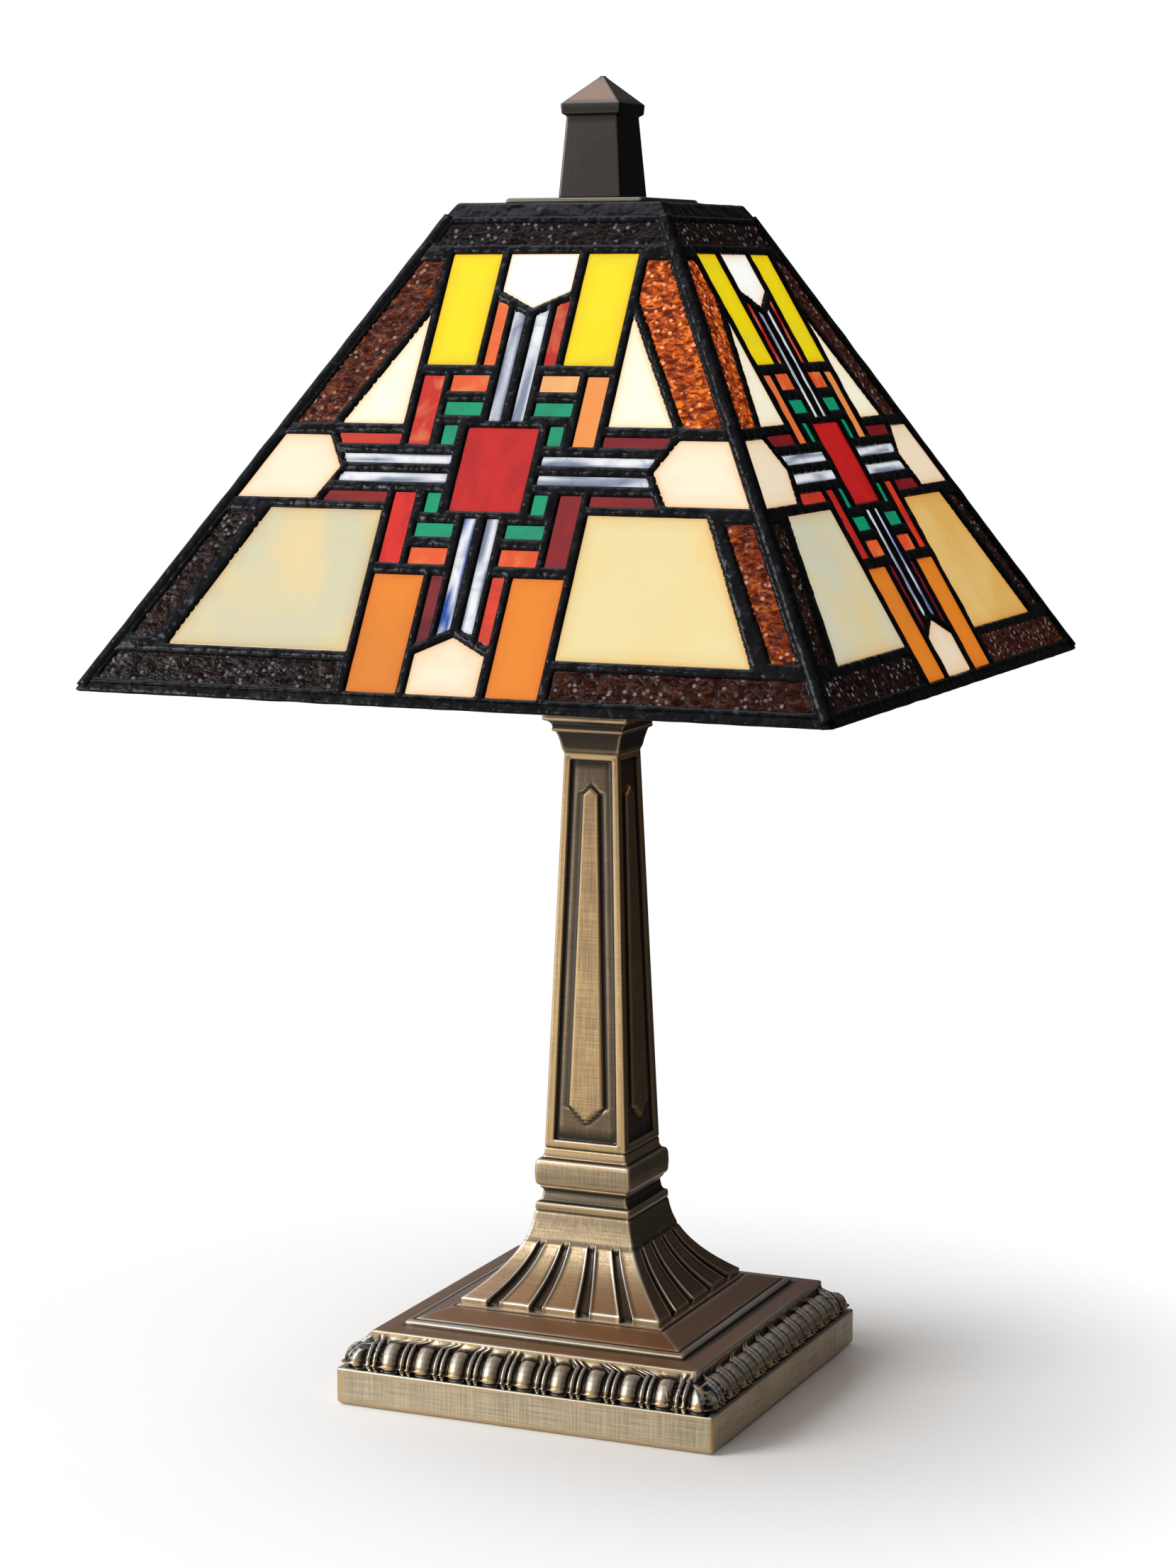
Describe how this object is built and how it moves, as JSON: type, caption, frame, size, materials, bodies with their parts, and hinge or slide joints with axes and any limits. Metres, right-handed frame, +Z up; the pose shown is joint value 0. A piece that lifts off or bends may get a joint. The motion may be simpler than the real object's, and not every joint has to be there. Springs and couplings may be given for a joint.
{
  "type": "stained glass table lamp",
  "caption": "Square leaded-glass table lamp with a geometric mission pattern, a pyramid shade on a harp, and a bronze-finished tapered column on a beaded square base.",
  "frame": {"origin": "middle of the underside of the base, on the table", "axes": "+Z up along the column; -Y is the front face; the cord inlet is in the back (+Y), the switch is on the front (-Y)"},
  "size_m": [0.3048, 0.3048, 0.524],
  "materials": {
    "antique_bronze": "antique bronze plating, fine brushed, rubbed bright on the edges",
    "cap_bronze": "dark antique bronze with a rubbed edge",
    "dark_bronze": "dark antique bronze",
    "felt": "green felt",
    "weight_iron": "raw casting",
    "zinc_steel": "zinc plated",
    "plain_brass": "satin",
    "bushing_black": "moulded nylon",
    "knob_bakelite": "moulded, polished",
    "socket_phenolic": "moulded phenolic",
    "fibre_sleeve": "vulcanised fibre",
    "thin_aluminium": "rolled thread",
    "contact_solder": "solder",
    "bulb_frosted": "frosted",
    "bulb_clear": "clear, with tungsten filament",
    "crown_steel": "dark brown enamel",
    "patina_came": "soldered copper foil, black patina",
    "glass_yellow": "art glass",
    "glass_white": "art glass",
    "glass_cream": "art glass",
    "glass_opal": "art glass",
    "glass_peach": "art glass",
    "glass_amber": "art glass",
    "glass_red": "art glass",
    "glass_dark_red": "art glass",
    "glass_orange": "art glass",
    "glass_green": "art glass",
    "glass_streaky": "art glass",
    "glass_brown": "art glass"
  },
  "bodies": {
    "base": {"base_casting": "antique_bronze", "base_pad": "felt", "base_weight": "weight_iron", "lock_washer": "zinc_steel", "lock_nut": "plain_brass", "cord_bushing": "bushing_black", "threaded_pipe": "zinc_steel", "collar": "antique_bronze", "column_shaft": "antique_bronze", "capital": "antique_bronze", "check_ring": "plain_brass", "harp_saddle": "plain_brass", "socket_cap": "plain_brass", "socket_shell": "plain_brass", "insulating_sleeve": "fibre_sleeve", "socket_interior": "socket_phenolic", "screw_shell": "thin_aluminium", "centre_contact": "plain_brass", "terminal_screws": "plain_brass"},
    "switch": {"switch_stem": "plain_brass", "switch_knob": "knob_bakelite"},
    "bulb_base": {"bulb_cap": "thin_aluminium", "bulb_contact": "contact_solder"},
    "bulb": {"bulb_glass": "bulb_frosted", "bulb_stem": "bulb_clear"},
    "harp": {"harp_wire": "plain_brass", "harp_stud": "plain_brass"},
    "sleeve_left": {"ferrule_left": "plain_brass"},
    "sleeve_right": {"ferrule_right": "plain_brass"},
    "cap": {"cap_plate": "cap_bronze"},
    "finial_thread": {"finial_insert": "plain_brass"},
    "finial": {"finial_block": "dark_bronze"},
    "shade": {"crown_plate": "crown_steel", "crown_band": "patina_came", "bottom_rim": "patina_came", "hip_cames": "patina_came", "came_front": "patina_came", "came_right": "patina_came", "came_back": "patina_came", "came_left": "patina_came", "glass_yellow": "glass_yellow", "glass_white": "glass_white", "glass_cream": "glass_cream", "glass_opal": "glass_opal", "glass_peach": "glass_peach", "glass_amber": "glass_amber", "glass_red": "glass_red", "glass_dark_red": "glass_dark_red", "glass_orange": "glass_orange", "glass_green": "glass_green", "glass_streaky": "glass_streaky", "glass_brown": "glass_brown"}
  },
  "joints": [
    {"name": "harp_lift", "type": "slide", "parent": "base", "child": "harp", "axis": [0, 0, 1], "range_m": [0, 0.02]},
    {"name": "sleeve_left_slide", "type": "slide", "parent": "harp", "child": "sleeve_left", "axis": [0, 0, 1], "range_m": [0, 0.012]},
    {"name": "sleeve_right_slide", "type": "slide", "parent": "harp", "child": "sleeve_right", "axis": [0, 0, 1], "range_m": [0, 0.012]},
    {"name": "shade_lift", "type": "slide", "parent": "harp", "child": "cap", "axis": [0, 0, 1], "range_m": [0, 0.2]},
    {"name": "shade_swivel", "type": "hinge", "parent": "cap", "child": "shade", "pos_m": [0, 0, 0.4745], "axis": [0, 0, 1], "continuous": true},
    {"name": "finial_rise", "type": "slide", "parent": "cap", "child": "finial_thread", "axis": [0, 0, 1], "range_m": [0, 0.0076]},
    {"name": "finial_turn", "type": "hinge", "parent": "finial_thread", "child": "finial", "pos_m": [0, 0, 0.4765], "axis": [0, 0, 1], "range_deg": [0, 2880]},
    {"name": "bulb_rise", "type": "slide", "parent": "base", "child": "bulb_base", "axis": [0, 0, 1], "range_m": [0, 0.011]},
    {"name": "bulb_turn", "type": "hinge", "parent": "bulb_base", "child": "bulb", "pos_m": [0, 0, 0.338], "axis": [0, 0, 1], "range_deg": [0, 1080]},
    {"name": "switch_turn", "type": "hinge", "parent": "base", "child": "switch", "pos_m": [0, -0.023, 0.304], "axis": [0, -1, 0], "continuous": true}
  ],
  "couplings": [
    {"joint": "finial_rise", "follows": "finial_turn", "m_per_rad": 0.00014961},
    {"joint": "bulb_rise", "follows": "bulb_turn", "m_per_rad": 0.00057773}
  ]
}
